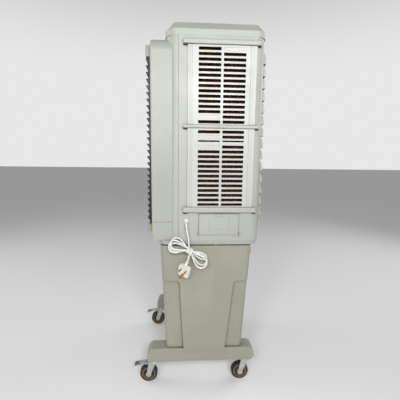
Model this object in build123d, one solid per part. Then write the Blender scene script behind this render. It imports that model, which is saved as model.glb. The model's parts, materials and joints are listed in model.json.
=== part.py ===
"""Evaporative (swamp) cooler on castors, modelled as separate pieces.

Millimetres. +Z is up, the floor is Z = 0, air leaves through the front (-Y), the rear intake is +Y
and the mains lead leaves the right side (+X). The origin is the middle of the footprint.
"""
import os
from math import atan, degrees, pi, radians, tan

from build123d import *

# ---------------------------------------------------------------- driving dimensions
HALF_W = 285.0            # side walls of the upper housing
HOUSING_FRONT = -118.0
HOUSING_BACK = 250.0
HOUSING_Z = (657.0, 1419.0)
R_FRONT = 48.0            # vertical corner radii of housing and lid
R_BACK = 32.0
WALL = 4.0

LID_SKIRT_TOP = 1441.0
LID_TOP = 1474.0
LID_INSET = 30.0          # how far the lid's bevel comes in

HOOD_HALF_W = 279.0
HOOD_FRONT = -175.0
HOOD_TOP = 1415.0
HOOD_R = 45.0
HOOD_WALL = 3.0
HOOD_SEAM_Z = (729.0, 731.0)
SEAM_DEPTH = 1.2

OUTLET_HALF_W = 236.0     # clear width between the cheeks
OUTLET_OUTER_HALF_W = 250.0
OUTLET_Z = (717.0, 1353.0)
LOWER_BAR_BOTTOM = 686.0
UPPER_BAR_TOP = 1393.0
CHEEK_FRONT = -184.0
OUTLET_TIP = -194.0
BLADE_COUNT = 26
BLADE_FIRST_Z = 739.5
BLADE_PITCH = 24.15

PANEL_Y = (-36.0, 218.0)
PANEL_UPPER_Z = (1105.2, 1387.0)
PANEL_LOWER_Z = (791.7, 1091.3)
PANEL_PROUD = 3.5
WINDOW_MARGIN = 2.0       # wall left behind the panel's edge
LIP_GAP = 0.8             # play of the panel's lip in its window
LIP_WALL = 2.0
LIP_DEPTH = 6.0
SLOT_PITCH = 18.5
SLOT_HEIGHT = 11.5
SLOT_COLUMNS = ((3.0, 86.0), (95.0, 178.0))
RAIL_Y = (-54.0, 233.0)
RAIL_Z = ((1388.0, 1405.0), (1092.0, 1104.5), (770.0, 791.0))
RAIL_PROUD = 9.0

FAN_Z = 1040.0
FAN_BORE_R = 207.0
FAN_TIP_R = 201.0
SHAFT_R = 8.0
RUNNING = 0.05            # radial clearance of a running fit

VANE_X = (-180.0, -90.0, 0.0, 90.0, 180.0)
VANE_PIVOT_Y = -140.0
VANE_CRANK = 16.0         # crank pin's offset from the pivot, towards the front
VANE_Z = (716.0, 1352.0)

PAD_Z = (785.0, 1388.0)
SIDE_PAD_X = (216.0, 274.0)
SIDE_PAD_Y = (-28.0, 182.0)
BACK_PAD_X = 205.0
BACK_PAD_Y = (188.0, 244.0)

TANK_TOP = 630.0
TANK_BOTTOM = 168.0
PAN_BOTTOM = 160.0
TANK_TOP_Y = (-144.0, 228.0)
TANK_BOTTOM_Y = (-125.0, 204.0)
TANK_HALF_W = (268.0, 256.0)      # proud sides at the top and at the pan's lower edge
PAN_PROUD = 12.0
PAN_SHOULDER_Z = 477.0
DECK_BOTTOM = 638.0
NUB_Y = (80.0, 132.0)     # locating nubs on the tank's neck
NUB_Z = (629.0, 637.0)

BEAM_X = (193.0, 252.0)
BEAM_Z = (108.0, 168.0)
CASTER_X = 222.0
CASTER_AXIS_Y = {"front": -180.0, "rear": 225.0}
CASTER_TRAIL = 22.0       # wheel centres lie this far in front of their swivel axes
WHEEL_R = 37.5
WHEEL_HALF_W = 13.5
LEG_INNER = 16.0
LEG_OUTER = 18.5
AXLE_R = 4.0
KING_PIN_R = 5.0
PEDAL_PIVOT = (-196.0, 85.0)      # Y, Z of the front brake pedals' pins
PEDAL_TIP = -264.0

BUTTON_X = {"power": -66.0, "speed": -22.0, "swing": 22.0, "cool": 66.0}
BUTTON_R = 8.0
BUTTON_Z = 1373.0

CORD_D = 6.5
CORD_LEAD = [(292, -41, 736), (307, -41, 736), (309.5, -39.5, 719), (303, -36, 692), (297, -29.5, 664),
             (297, -29.5, 636)]
CORD_TAIL = [(306, -30, 600), (306, -30, 588), (305, -35.5, 575)]
HANK_X = (287.5, 310.0)   # both lobes lie flat against the tank
WRAP_X = (284.0, 314.0)   # the turns that bind them
WRAP_Y = (-46.0, -14.0)
WRAP_Z = (600.0, 636.0)

SIDES = {"right": 1, "left": -1}


# ---------------------------------------------------------------- helpers
def block(x, y, z):
    """Box between two limits on each axis."""
    middle = [(lo + hi) / 2 for lo, hi in (x, y, z)]
    return Pos(*middle) * Box(x[1] - x[0], y[1] - y[0], z[1] - z[0])


def side_block(side, x, y, z):
    """A block given for the right side, mirrored in X when side is -1."""
    return block(tuple(sorted((side * x[0], side * x[1]))), y, z)


def rod_x(x, y, z, r):
    """Cylinder along X between two X values."""
    return Pos((x[0] + x[1]) / 2, y, z) * Rot(0, 90, 0) * Cylinder(r, x[1] - x[0])


def rod_y(x, y, z, r):
    """Cylinder along Y between two Y values."""
    return Pos(x, (y[0] + y[1]) / 2, z) * Rot(90, 0, 0) * Cylinder(r, y[1] - y[0])


def rod_z(x, y, z, r):
    """Cylinder along Z between two Z values."""
    return Pos(x, y, (z[0] + z[1]) / 2) * Cylinder(r, z[1] - z[0])


def along_x(points, x):
    """Polygon of (y, z) points, extruded between two X values."""
    return extrude(Plane.YZ.offset(x[0]) * Polygon(*points, align=None), amount=x[1] - x[0], dir=(1, 0, 0))


def along_y(points, y):
    """Polygon of (x, z) points, extruded between two Y values."""
    return extrude(Plane.XZ.offset(-y[1]) * Polygon(*points, align=None), amount=y[1] - y[0], dir=(0, -1, 0))


def plan(half_w, y, r_front, r_back):
    """Rectangle seen from above, with its own radius on the front and the back corners."""
    sketch = Pos(0, (y[0] + y[1]) / 2) * Rectangle(2 * half_w, y[1] - y[0])
    front = sketch.vertices().filter_by_position(Axis.Y, y[0] - 1, y[0] + 1)
    sketch = fillet(front, r_front)
    back = sketch.vertices().filter_by_position(Axis.Y, y[1] - 1, y[1] + 1)
    return fillet(back, r_back)


def prism(sketch, z, taper=0.0):
    """Sketch drawn on the ground, extruded between two heights."""
    return extrude(Pos(0, 0, z[0]) * sketch, amount=z[1] - z[0], taper=taper)


def housing_prism(z, inset=0.0):
    """The housing's outline, inset all round."""
    y = (HOUSING_FRONT + inset, HOUSING_BACK - inset)
    return prism(plan(HALF_W - inset, y, R_FRONT - inset, R_BACK - inset), z)


def rounded(solid, axis, radius):
    """Round the edges that run along an axis."""
    return fillet(solid.edges().filter_by(axis), radius)


# ---------------------------------------------------------------- casings
def top_cover():
    """Lid: a vertical skirt, a wide bevel and a flat top, hollow underneath."""
    bevel = degrees(atan(LID_INSET / (LID_TOP - LID_SKIRT_TOP)))
    outline = plan(HALF_W, (HOUSING_FRONT - 2, HOUSING_BACK + 4), R_FRONT, R_BACK)
    lid = prism(outline, (HOUSING_Z[1], LID_SKIRT_TOP))
    lid += prism(outline, (LID_SKIRT_TOP, LID_TOP), taper=bevel)
    cavity = plan(HALF_W - WALL, (HOUSING_FRONT + WALL, HOUSING_BACK - WALL), R_FRONT - WALL, R_BACK - WALL)
    lid -= prism(cavity, (HOUSING_Z[1], LID_SKIRT_TOP))
    return lid - prism(cavity, (LID_SKIRT_TOP, LID_TOP - WALL), taper=bevel)


def panel_window(side, z):
    """Opening in the side wall that a grille panel covers."""
    y = (PANEL_Y[0] + WINDOW_MARGIN, PANEL_Y[1] - WINDOW_MARGIN)
    return side_block(side, (HALF_W - 10, HALF_W + 10), y, (z[0] + WINDOW_MARGIN, z[1] - WINDOW_MARGIN))


def upper_housing():
    """Four-walled housing: pad windows at the sides and back, the fan's hole in front."""
    shell = housing_prism(HOUSING_Z) - housing_prism(HOUSING_Z, WALL)
    for side in SIDES.values():
        shell -= panel_window(side, PANEL_UPPER_Z)
        shell -= panel_window(side, PANEL_LOWER_Z)
        groove = (HALF_W - 1.2, HALF_W + 1)
        shell -= side_block(side, groove, (-72.0, -70.0), HOUSING_Z)
    shell -= block((HALF_W - 10, HALF_W + 10), (16, 161), (688, 757))
    shell -= rod_x((HALF_W - 10, HALF_W + 10), -41, 736, 5.0)
    shell -= rod_y(0, (HOUSING_FRONT - 5, HOUSING_FRONT + 10), FAN_Z, FAN_BORE_R)
    for z in ((712, 1040), (1060, 1388)):
        shell -= block((-215, 215), (HOUSING_BACK - 10, HOUSING_BACK + 5), z)
    for y in (3.0, 169.0):
        shell += block((HALF_W, HALF_W + 5.5), (y, y + 5), (676, 684))
    return shell - rod_y(HALF_W + 2.0, (0, 180), 680, 1.5 + RUNNING)


def deck():
    """Tray between housing and tank, its skirt sloping in towards the bottom."""
    flare = degrees(atan(7 / (HOUSING_Z[0] - DECK_BOTTOM)))
    outer = plan(HALF_W - 7, (-148, HOUSING_BACK - 7), R_FRONT - 7, R_BACK - 7)
    inner = plan(HALF_W - 10, (-145, HOUSING_BACK - 10), R_FRONT - 10, R_BACK - 10)
    tray = prism(outer, (DECK_BOTTOM, HOUSING_Z[0]), taper=-flare)
    tray -= prism(inner, (DECK_BOTTOM, HOUSING_Z[0] - 3), taper=-flare)
    return tray - block((-240, 240), (-90, 205), (DECK_BOTTOM, HOUSING_Z[0] + 1))


def front_hood():
    """Outlet hood in front of the housing, its upper edges rounded."""
    def arch(half_w, z, radius, y):
        sketch = Pos(0, (z[0] + z[1]) / 2) * Rectangle(2 * half_w, z[1] - z[0])
        top = sketch.vertices().filter_by_position(Axis.Y, z[1] - 1, z[1] + 1)
        return extrude(Plane.XZ.offset(-y[1]) * fillet(top, radius), amount=y[1] - y[0])

    outer = arch(HOOD_HALF_W, (HOUSING_Z[0], HOOD_TOP), HOOD_R, (HOOD_FRONT, -80))
    outer = fillet(outer.faces().sort_by(Axis.Y)[0].edges(), 6)
    inner_z = (HOUSING_Z[0] + HOOD_WALL, HOOD_TOP - HOOD_WALL)
    inner = arch(HOOD_HALF_W - HOOD_WALL, inner_z, HOOD_R - HOOD_WALL, (HOOD_FRONT + HOOD_WALL, -70))
    hood = outer - inner - housing_prism((600, 1500))
    for side in SIDES.values():
        hood -= side_block(side, (HOOD_HALF_W - SEAM_DEPTH, HOOD_HALF_W + 1), (HOOD_FRONT + 6, -70), HOOD_SEAM_Z)
    return hood - block((-232, 232), (HOOD_FRONT - 5, HOOD_FRONT + 8), (OUTLET_Z[0] + 3, OUTLET_Z[1] - 3))


def back_grille():
    """Rear intake panel with a column of wide, bulging louvres."""
    pitch = 45.0
    plate_y = (HOUSING_BACK, HOUSING_BACK + 3)
    panel = block((-248, 248), plate_y, (690, 1400))
    for row in range(15):
        z = 705 + pitch * row
        lip = HOUSING_BACK + 14
        outer = [(HOUSING_BACK + 2, z + 43), (lip - 5, z + 36), (lip - 1.5, z + 24), (lip, z + 10), (lip, z + 4)]
        inner = [(lip - 2.5, z + 4), (lip - 4, z + 22), (lip - 7.5, z + 32.5), (HOUSING_BACK + 2, z + 37)]
        panel += along_x(outer + inner, (-244, 244))
        for x in ((-248, -244), (244, 248)):
            panel += along_x(outer + [(HOUSING_BACK + 2, z + 4)], x)
        panel -= block((-212, 212), (HOUSING_BACK - 1, HOUSING_BACK + 3.5), (z + 5, z + 32))
    return panel


# ---------------------------------------------------------------- air outlet
def outlet_frame():
    """Two black cheeks beside the outlet, with a tooth that carries the end of each blade."""
    cheeks = []
    for side in SIDES.values():
        cheek = side_block(side, (OUTLET_HALF_W, OUTLET_OUTER_HALF_W), (CHEEK_FRONT, HOOD_FRONT), OUTLET_Z)
        tooth_x = tuple(sorted((side * OUTLET_HALF_W, side * (OUTLET_HALF_W + 8))))
        for index in range(BLADE_COUNT):
            z = BLADE_FIRST_Z + BLADE_PITCH * index
            tooth = [(CHEEK_FRONT + 1, z + 6), (OUTLET_TIP, z + 5), (OUTLET_TIP, z + 2.4), (CHEEK_FRONT + 1, z - 14)]
            cheek += along_x(tooth, tooth_x)
        cheeks.append(cheek)
    return cheeks


def outlet_blades():
    """Thin fixed blades across the outlet, each sloping up towards the room."""
    back = HOOD_FRONT - 0.5
    blades = []
    for index in range(BLADE_COUNT):
        z = BLADE_FIRST_Z + BLADE_PITCH * index
        outline = [(OUTLET_TIP, z + 5), (OUTLET_TIP, z + 2.4), (back, z - 8), (back, z - 5)]
        blades.append(along_x(outline, (-OUTLET_HALF_W, OUTLET_HALF_W)))
    return blades


def end_bar(z):
    """Plain bar that closes one end of the outlet."""
    bar = block((-OUTLET_OUTER_HALF_W, OUTLET_OUTER_HALF_W), (OUTLET_TIP, HOOD_FRONT), z)
    return fillet(bar.faces().sort_by(Axis.Y)[0].edges(), 3)


def control_panel():
    """Upper bar of the outlet, bored for four push buttons."""
    bar = end_bar((OUTLET_Z[1], UPPER_BAR_TOP))
    for x in BUTTON_X.values():
        bar -= rod_y(x, (OUTLET_TIP - 1, OUTLET_TIP + 11), BUTTON_Z, BUTTON_R + 0.3)
        bar -= rod_y(x, (OUTLET_TIP, OUTLET_TIP + 18), BUTTON_Z, 3.3)
    return bar


def button(x):
    """Round push button with a guide stem."""
    cap = rod_y(x, (OUTLET_TIP - 2, OUTLET_TIP + 8), BUTTON_Z, BUTTON_R)
    cap = fillet(cap.edges().sort_by(Axis.Y)[0], 1.2)
    return cap + rod_y(x, (OUTLET_TIP + 8, OUTLET_TIP + 15), BUTTON_Z, 3.0)


def vane_rails():
    """Two bearing rails for the swing vanes, one at each end of them."""
    rails = []
    for z in ((700, 706), (1360, 1366)):
        rail = block((-276, 276), (VANE_PIVOT_Y - 10, VANE_PIVOT_Y + 10), z)
        for x in VANE_X:
            rail -= rod_z(x, VANE_PIVOT_Y, (z[0] - 1, z[1] + 1), 3.0 + RUNNING)
        rails.append(rail)
    return rails


def vane(x):
    """Upright swing vane: a blade on a spine, with pins and a crank pin below."""
    low_pin = 690.0 if x == 0 else 699.6
    body = block((x - 1.3, x + 1.3), (VANE_PIVOT_Y - 22, VANE_PIVOT_Y + 18), VANE_Z)
    body += rod_z(x, VANE_PIVOT_Y, VANE_Z, 4.0)
    body += rod_z(x, VANE_PIVOT_Y, (low_pin, 1366.4), 3.0)
    return body + rod_z(x, VANE_PIVOT_Y - VANE_CRANK, (708, VANE_Z[0] + 2), 2.0)


def vane_link():
    """Bar that ties the five crank pins together, with a slot for each."""
    y = VANE_PIVOT_Y - VANE_CRANK
    bar = block((-200, 200), (y - 7, y + 7), (709.5, 712.5))
    for x in VANE_X:
        slot = Pos(x, y + 0.6, 709) * SlotOverall(9.2, 4.9, rotation=90)
        bar -= extrude(slot, amount=4)
    return rounded(bar, Axis.Z, 4)


def swing_motor():
    """Stepper motor under the lower rail, turning the middle vane."""
    body = rod_z(0, VANE_PIVOT_Y, (678, 698), 20) + block((-30, 30), (-148, -132), (698, 700))
    return body - rod_z(0, VANE_PIVOT_Y, (688, 701), 3.0 + RUNNING)


# ---------------------------------------------------------------- fan
def fan_ring():
    """Bell-mouth tube round the fan, flanged to the housing's front wall."""
    front = HOUSING_FRONT + WALL
    ring = rod_y(0, (front, -40), FAN_Z, FAN_BORE_R + 4) + rod_y(0, (front, front + 3), FAN_Z, 225)
    return ring - rod_y(0, (front - 1, -39), FAN_Z, FAN_BORE_R)


def fan_rotor():
    """Five-bladed axial fan with its shaft."""
    hub = fillet(rod_y(0, (-102, -56), FAN_Z, 42).edges().sort_by(Axis.Y)[0], 14)
    rotor = hub + rod_y(0, (-58, -12), FAN_Z, SHAFT_R)
    blade = Pos(0, -78, 118) * Rot(0, 0, 28) * Box(128, 4, 190)
    blade &= rod_y(0, (-110, -46), 0, FAN_TIP_R) - rod_y(0, (-111, -45), 0, 38)
    for index in range(5):
        rotor += Pos(0, 0, FAN_Z) * Rot(0, 72 * index, 0) * blade
    return rotor


def motor_bracket():
    """Four-armed bracket across the back of the fan ring."""
    spider = rod_y(0, (-40, -36), FAN_Z, 64)
    for angle in (45, 135):
        arm = Rot(0, angle, 0) * Box(2 * FAN_BORE_R + 7, 4, 28)
        spider += Pos(0, -38, FAN_Z) * arm
    return spider - rod_y(0, (-45, -30), FAN_Z, 14)


def fan_motor():
    """Fan motor with rounded end shields and cooling ribs."""
    body = rod_y(0, (-36, 50), FAN_Z, 56)
    body = fillet(body.edges().sort_by(Axis.Y)[-1], 10)
    for y in range(-20, 36, 8):
        body += rod_y(0, (y, y + 3), FAN_Z, 60)
    return body - rod_y(0, (-40, -10), FAN_Z, SHAFT_R + RUNNING)


# ---------------------------------------------------------------- wet side
def side_pad(side):
    """Cellulose cooling pad behind one side's panels."""
    return side_block(side, SIDE_PAD_X, SIDE_PAD_Y, PAD_Z)


def back_pad():
    """Cellulose cooling pad behind the rear grille."""
    return block((-BACK_PAD_X, BACK_PAD_X), BACK_PAD_Y, PAD_Z)


def pad_shelves():
    """Drip shelves that carry the three pads."""
    z = (PAD_Z[0] - 4, PAD_Z[0])
    shelves = []
    for side in SIDES.values():
        shelf = side_block(side, (208, HALF_W - WALL), (-35, 184), z)
        for y in (0, 40, 80, 120, 160):
            shelf -= rod_z(side * 245, y, (z[0] - 1, z[1] + 1), 8)
        shelves.append(shelf)
    back = block((-207, 207), (185, HOUSING_BACK - WALL), z)
    for x in (-160, -80, 0, 80, 160):
        back -= rod_z(x, 216, (z[0] - 1, z[1] + 1), 8)
    return shelves + [back]


def water_spreader():
    """U-shaped water channel over the pads, with a feed port and drip holes."""
    def channel(inset, z):
        side_y = (SIDE_PAD_Y[0] + inset, 190 - inset)
        shape = block((-255 + inset, 255 - inset), (182 + inset, BACK_PAD_Y[1] - inset), z)
        for side in SIDES.values():
            shape += side_block(side, (SIDE_PAD_X[0] + inset, SIDE_PAD_X[1] - inset), side_y, z)
        return shape + block((-250, -182 - inset), (148 + inset, 200), z)

    z = (1390, 1410)
    spreader = channel(0, z) - channel(3, (z[0] + 3, z[1] - 3))
    for side in SIDES.values():
        for y in (0, 50, 100, 150):
            spreader -= rod_z(side * 245, y, (z[0] - 1, z[0] + 5), 2.5)
    for x in (-150, -50, 50, 150):
        spreader -= rod_z(x, 215, (z[0] - 1, z[0] + 5), 2.5)
    return spreader - rod_z(-195, 160, (z[0] - 1, z[0] + 5), 6)


def riser_pipe():
    """Pipe from the pump up to the water channel."""
    return rod_z(-195, 160, (262, 1390), 8) - rod_z(-195, 160, (262, 1390), 6)


def pump():
    """Submersible pump standing on the tank's floor."""
    body = rod_z(-195, 160, (172, 250), 32)
    body = fillet(body.edges().sort_by(Axis.Z)[-1], 8)
    return body + rod_z(-195, 160, (249, 262), 8) - rod_z(-195, 160, (240, 263), 6)


def wedge(half_w, y_top, y_bottom, z, radius):
    """Four-sided body that narrows downwards both ways, with rounded corners."""
    front = along_y([(-half_w[0], z[1]), (half_w[0], z[1]), (half_w[1], z[0]), (-half_w[1], z[0])], (-300, 300))
    side = along_x([(y_top[0], z[1]), (y_top[1], z[1]), (y_bottom[1], z[0]), (y_bottom[0], z[0])], (-300, 300))
    body = front & side
    upright = [edge for edge in body.edges() if abs((edge % 0.5).Z) > 0.9]
    return fillet(upright, radius)


def pan_outline():
    """Side view of the tank's proud part: a full-depth shoulder above a tapering pan."""
    points = [(-300, 700), (300, 700), (300, PAN_SHOULDER_Z), (159, PAN_SHOULDER_Z), (128, PAN_BOTTOM),
              (-49, PAN_BOTTOM), (-67, PAN_SHOULDER_Z), (-300, PAN_SHOULDER_Z)]
    sketch = Polygon(*points, align=None)
    low = sketch.vertices().filter_by_position(Axis.X, -100, 200)
    return extrude(Plane.YZ.offset(-300) * fillet(low, 15), amount=600, dir=(1, 0, 0))


def tank():
    """Water tank: open neck, proud pans on its sides, bosses for inlet and drain."""
    slope = (TANK_TOP_Y[0] - TANK_BOTTOM_Y[0]) / (TANK_TOP - TANK_BOTTOM)
    core_w = (TANK_HALF_W[0] - PAN_PROUD, TANK_HALF_W[1] - PAN_PROUD)
    body = wedge(core_w, TANK_TOP_Y, TANK_BOTTOM_Y, (TANK_BOTTOM, TANK_TOP), 16)
    pan_y = (TANK_BOTTOM_Y[0] - slope * (TANK_BOTTOM - PAN_BOTTOM), TANK_BOTTOM_Y[1])
    proud = wedge(TANK_HALF_W, TANK_TOP_Y, pan_y, (PAN_BOTTOM, TANK_TOP), 20)
    body += proud & pan_outline()
    body += prism(plan(258, (-136, 220), 20, 20), (TANK_TOP, HOUSING_Z[0] - 3))
    body += rod_y(120, (214, 228), 560, 22) + rod_y(0, (198, 212), 196, 16)
    inner_w = (core_w[0] - WALL, core_w[1] - WALL)
    top_y = (TANK_TOP_Y[0] + WALL, TANK_TOP_Y[1] - WALL)
    bottom_y = (TANK_BOTTOM_Y[0] + WALL, TANK_BOTTOM_Y[1] - WALL)
    body -= wedge(inner_w, top_y, bottom_y, (TANK_BOTTOM + WALL, TANK_TOP - WALL), 12)
    body -= prism(plan(252, (-132, 216), 12, 12), (TANK_TOP - WALL - 1, HOUSING_Z[0]))
    body -= rod_y(120, (190, 240), 560, 10) + rod_y(0, (190, 240), 196, 8)
    for side in SIDES.values():
        body -= side_block(side, BEAM_X, (-300, 300), (100, BEAM_Z[1]))
        for y in NUB_Y:
            body += side_block(side, (255, 266), (y - 5, y + 5), NUB_Z)
    between = (-BEAM_X[0], BEAM_X[0])
    return body - block(between, (-300, 300), (100, BEAM_Z[1]))


def level_window():
    """Clear water gauge on the tank's front face."""
    tilt = degrees(atan((TANK_BOTTOM_Y[0] - TANK_TOP_Y[0]) / (TANK_TOP - TANK_BOTTOM)))
    middle_z = 400.0
    face_y = TANK_TOP_Y[0] + (TANK_TOP - middle_z) * tan(radians(tilt))
    gauge = Pos(0, face_y, middle_z) * Rot(tilt, 0, 0) * Pos(0, -1.5, 0) * Box(30, 3, 300)
    return gauge


def fill_door():
    """Water filling flap in the right side, hinged at its lower edge, with a pull tab."""
    x = (HALF_W + 0.4, HALF_W + 3.6)
    door = block(x, (9, 168), (680, 764)) + rod_y(HALF_W + 2.0, (9, 168), 680, 1.6)
    door += rod_y(HALF_W + 2.0, (4, 173), 680, 1.5)
    return door + block((x[1], x[1] + 4), (78, 98), (756, 764))


def float_valve():
    """Inlet valve through the tank's rear wall, with a threaded spigot outside."""
    body = rod_y(120, (200, 228), 560, 10) + rod_y(120, (228, 233), 560, 18)
    body += rod_y(120, (233, 260), 560, 10.5)
    body += block((117, 123), (184, 202), (551, 565))
    return body - rod_x((100, 140), 190, 558, 2.0 + RUNNING)


def float_arm():
    """Float and its arm, hanging from the valve as in an empty tank."""
    arm = rod_x((116, 128), 190, 558, 2.0) + block((124, 128), (106, 193), (555, 561))
    arm += Pos(126, 92, 558) * Sphere(22)
    pivot = Axis((0, 190, 558), (1, 0, 0))
    return arm.rotate(pivot, 35)


def drain_plug():
    """Push-in drain plug low on the tank's rear."""
    return rod_y(0, (200, 212), 196, 8 - RUNNING) + rod_y(0, (212, 221), 196, 13)


# ---------------------------------------------------------------- side grilles
def grille_panel(side, z, rows, blank_right=(), blank_left=(), half_row=None):
    """Lift-off panel: slotted plate with edge ribs, and a lip that sits in the window."""
    face = (HALF_W, HALF_W + PANEL_PROUD)
    panel = side_block(side, face, PANEL_Y, z)
    lip = WINDOW_MARGIN + LIP_GAP
    hollow = lip + LIP_WALL
    lip_x = (HALF_W - LIP_DEPTH, HALF_W)
    frame = side_block(side, lip_x, (PANEL_Y[0] + lip, PANEL_Y[1] - lip), (z[0] + lip, z[1] - lip))
    hollow_x = (HALF_W - LIP_DEPTH - 1, HALF_W)
    inner = side_block(side, hollow_x, (PANEL_Y[0] + hollow, PANEL_Y[1] - hollow), (z[0] + hollow, z[1] - hollow))
    panel += frame - inner
    for y in ((-27.0, -21.0), (196.0, 203.0)):
        panel += side_block(side, (face[1], face[1] + 2), y, (z[0] + 1, z[1] - 1))
    first_top = z[1] - 7.0
    for row in range(rows):
        top = first_top - SLOT_PITCH * row
        height = SLOT_HEIGHT / 2 if row == half_row else SLOT_HEIGHT
        for column, y in enumerate(SLOT_COLUMNS):
            blank = row in (blank_left, blank_right)[column]
            depth = (face[1] - 1, face[1] + 1) if blank else (face[0] - 1, face[1] + 1)
            slot = side_block(side, depth, y, (top - height, top))
            panel -= rounded(slot, Axis.X, 2.5)
    return panel


def side_rails():
    """Three drip rails on each side, over, between and under the panels."""
    rails = []
    for side in SIDES.values():
        for z in RAIL_Z:
            rail = side_block(side, (HALF_W, HALF_W + RAIL_PROUD), RAIL_Y, z)
            outer = rail.faces().sort_by(Axis.X)[-1 if side > 0 else 0]
            rails.append(fillet(outer.edges(), 3.5))
    return rails


# ---------------------------------------------------------------- base and castors
def base_beams():
    """Two hollow beams, one per side, that carry the tank on its castors."""
    outline = [(-204, BEAM_Z[0]), (246, BEAM_Z[0]), (260, 126), (252, BEAM_Z[1]), (-204, BEAM_Z[1])]
    beams = []
    for side in SIDES.values():
        x = tuple(sorted((side * BEAM_X[0], side * BEAM_X[1])))
        beam = along_x(outline, x)
        ends = beam.edges().filter_by(Axis.X)
        beam = fillet(ends.sort_by(Axis.Z)[-2:], 26)
        inner_x = (x[0] + WALL, x[1] - WALL)
        beam -= block(inner_x, (-196, 244), (BEAM_Z[0] + 5, 142))
        beam -= block(inner_x, (-170, 220), (141, BEAM_Z[1] - WALL))
        beams.append(beam - block(inner_x, (-150, 194), (BEAM_Z[0] - 1, BEAM_Z[0] + 6)))
    return beams


def caster_plates():
    """Bolted top plate, ball race and king pin of each castor."""
    plates = []
    for side in SIDES.values():
        for y in CASTER_AXIS_Y.values():
            x = side * CASTER_X
            plate = rounded(block((x - 27, x + 27), (y - 21, y + 21), (105, 108)), Axis.Z, 5)
            plate += rod_z(x, y, (99, 105), 20)
            plate += rod_z(x, y, (90, 99), KING_PIN_R) + rod_z(x, y, (88.3, 91.7), 8.5)
            plates.append(plate)
    return plates


def caster_fork(side, station):
    """Swivel fork: crown, two legs and the axle bolt; the front ones carry a pedal."""
    x = side * CASTER_X
    axis_y = CASTER_AXIS_Y[station]
    wheel_y = axis_y - CASTER_TRAIL
    fork = rod_z(x, axis_y, (92, 98.7), 19) + block((x - 18.5, x + 18.5), (axis_y - 19, axis_y + 12), (95.5, 98.7))
    leg = Polygon((axis_y - 19, 98.7), (axis_y + 12, 98.7), (wheel_y + 9, WHEEL_R), (wheel_y - 9, WHEEL_R), align=None)
    leg += Pos(wheel_y, WHEEL_R) * Circle(12)
    if station == "front":
        leg += Pos(*PEDAL_PIVOT) * Circle(8)
    for inner, outer in ((-LEG_OUTER, -LEG_INNER), (LEG_INNER, LEG_OUTER)):
        fork += extrude(Plane.YZ.offset(x + inner) * leg, amount=outer - inner, dir=(1, 0, 0))
    fork += rod_x((x - LEG_OUTER - 5, x + LEG_OUTER + 5), wheel_y, WHEEL_R, AXLE_R)
    for inner in (x - LEG_OUTER - 3.5, x + LEG_OUTER):
        fork += rod_x((inner, inner + 3.5), wheel_y, WHEEL_R, 7)
    fork -= rod_z(x, axis_y, (85, 99), KING_PIN_R + RUNNING)
    if station == "front":
        fork -= rod_x((x - 20, x + 20), *PEDAL_PIVOT, 3.0 + RUNNING)
    return fork


def caster_wheel(side, station):
    """Wheel: rubber tyre on a plastic core with a metal hub."""
    x = side * CASTER_X
    wheel_y = CASTER_AXIS_Y[station] - CASTER_TRAIL

    def disc(half_w, r):
        return rod_x((x - half_w, x + half_w), wheel_y, WHEEL_R, r)

    tyre = fillet(disc(WHEEL_HALF_W, WHEEL_R).edges(), 4) - disc(WHEEL_HALF_W + 1, 29)
    core = disc(WHEEL_HALF_W - 1.5, 29) - disc(WHEEL_HALF_W + 1, 22) + disc(8, 22.5) + disc(15.5, 12)
    bore = disc(20, AXLE_R + RUNNING)
    return [tyre, core - bore]


def brake_pedal(side):
    """Foot pedal that presses its pad on the tyre."""
    x = side * CASTER_X
    y, z = PEDAL_PIVOT
    top = [(y + 3, z + 3.5), (y - 22, z + 3.5), (PEDAL_TIP, z - 6), (PEDAL_TIP, z - 10), (y - 24, z - 0.5),
           (y + 3, z - 0.5)]
    pedal = along_x(top, (x - 13, x + 13)) + rod_x((x - 15.6, x + 15.6), y, z, 4.5)
    pedal += rod_x((x - 19.5, x + 19.5), y, z, 3.0)
    return pedal + block((x - 9, x + 9), (y - 22, y - 14), (z - 5.5, z + 1))


# ---------------------------------------------------------------- mains lead
def cable_gland():
    """Cable gland in the right side wall."""
    return rod_x((279, 285), -41, 736, 4.9) + rod_x((285, 288), -41, 736, 9) + rod_x((288, 292), -41, 736, 6)


def cord_tube(points, name):
    """Straight runs joined by arcs as large as the runs allow."""
    corners = [Vector(*point) for point in points]
    radii = []
    for before, here, after in zip(corners, corners[1:], corners[2:]):
        turn = (here - before).get_angle(after - here)
        shorter = min((here - before).length, (after - here).length)
        radii.append(0.45 * shorter / tan(radians(turn / 2)))
    path = FilletPolyline(*corners, radius=radii)
    tube = sweep(Plane(path @ 0, z_dir=path % 0) * Circle(CORD_D / 2), path=path)
    expected = pi * CORD_D ** 2 / 4 * path.length
    print(f"{name}: length {path.length:.1f} mm, radii {[round(r, 1) for r in radii]},"
          f" volume {tube.volume / expected:.4f} of section x length")
    return tube


def cord_hank():
    """Outer shape of the folded spare lead: two lobes and the turns that bind them."""
    left = [(-34, 634), (-58, 662), (-84, 671), (-104, 656), (-108, 640), (-96, 620), (-64, 605), (-34, 604)]
    right = [(-24, 630), (16, 612), (40, 600), (43, 575), (30, 550), (12, 553), (-8, 578), (-24, 606)]
    hank = block(WRAP_X, WRAP_Y, WRAP_Z)
    for outline in (left, right):
        hank += along_x(outline, HANK_X)
    return hank


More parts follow.
